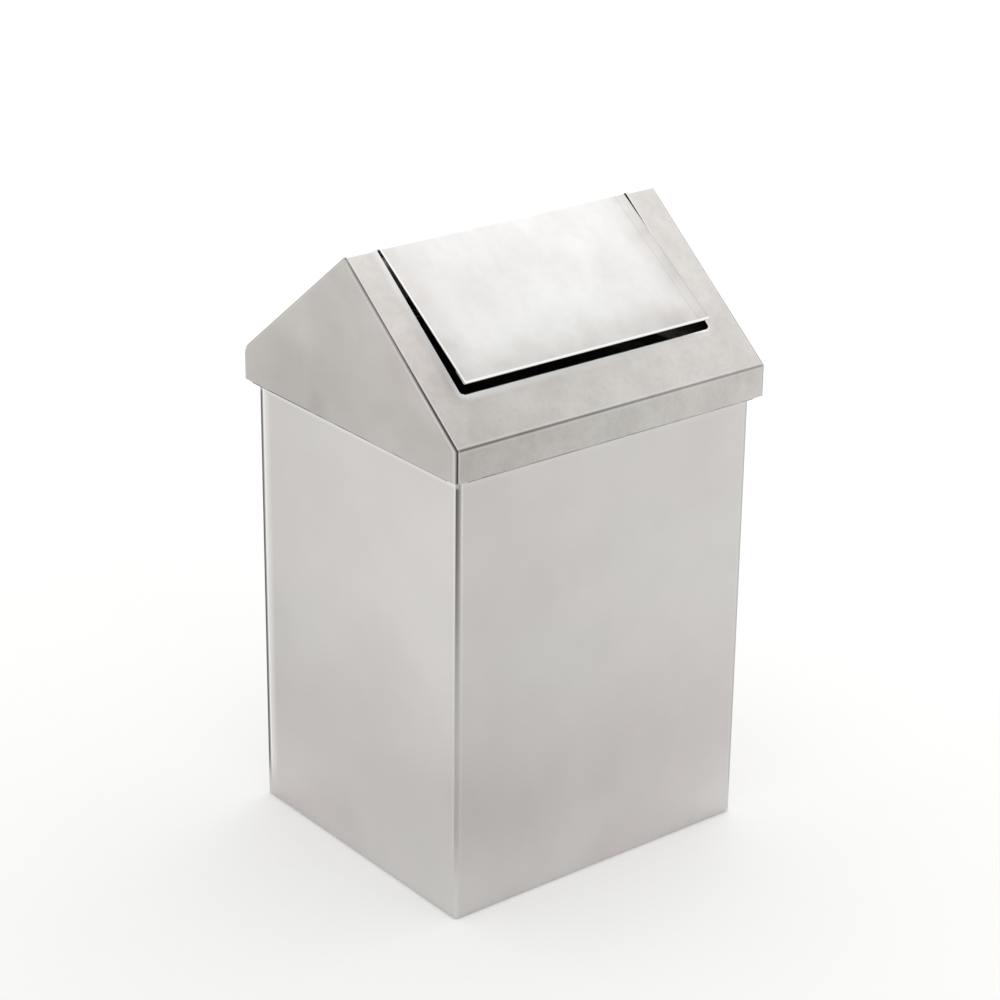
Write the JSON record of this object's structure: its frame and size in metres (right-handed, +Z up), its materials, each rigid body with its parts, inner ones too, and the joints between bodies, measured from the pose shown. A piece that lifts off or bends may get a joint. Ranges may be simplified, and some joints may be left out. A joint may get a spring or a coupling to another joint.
{
  "type": "countertop trash can",
  "caption": "Square countertop trash can in folded stainless sheet, with a lift-off gable hood and a balanced V-shaped flap that swings both ways on an axle under the ridge.",
  "frame": {"origin": "on the counter, under the middle of the bin", "axes": "+X along the ridge to the right, -Y to the front, +Z up"},
  "size_m": [0.181, 0.1638, 0.3023],
  "materials": {
    "body_steel": "satin",
    "hood_steel": "satin",
    "flap_steel": "satin",
    "inner_steel": "mill",
    "bright_steel": "polished",
    "nylon": "moulded",
    "foot_rubber": "matt"
  },
  "bodies": {
    "bin": {"body_shell": "body_steel", "base_pan": "inner_steel", "foot_front_left": "foot_rubber", "foot_front_right": "foot_rubber", "foot_back_left": "foot_rubber", "foot_back_right": "foot_rubber", "foot_rivets": "inner_steel"},
    "hood": {"roof_sheet": "hood_steel", "gable_left": "hood_steel", "gable_right": "hood_steel", "seat_rail_front": "inner_steel", "seat_rail_back": "inner_steel", "seat_rail_left": "inner_steel", "seat_rail_right": "inner_steel", "axle_bracket_left": "inner_steel", "axle_bracket_right": "inner_steel", "axle_bush_left": "nylon", "axle_bush_right": "nylon"},
    "flap": {"flap_shell": "flap_steel", "flap_lug_left": "inner_steel", "flap_lug_right": "inner_steel", "axle_rod": "bright_steel", "axle_spacer_left": "nylon", "axle_spacer_right": "nylon", "axle_clip_left": "bright_steel", "axle_clip_right": "bright_steel", "balance_bar_front": "inner_steel", "balance_bar_back": "inner_steel"}
  },
  "joints": [
    {"name": "hood_lift", "type": "slide", "parent": "bin", "child": "hood", "axis": [0, 0, 1], "range_m": [0, 0.08]},
    {"name": "flap_swing", "type": "hinge", "parent": "hood", "child": "flap", "pos_m": [0, 0, 0.27738], "axis": [1, 0, 0], "range_deg": [-75, 75]}
  ]
}
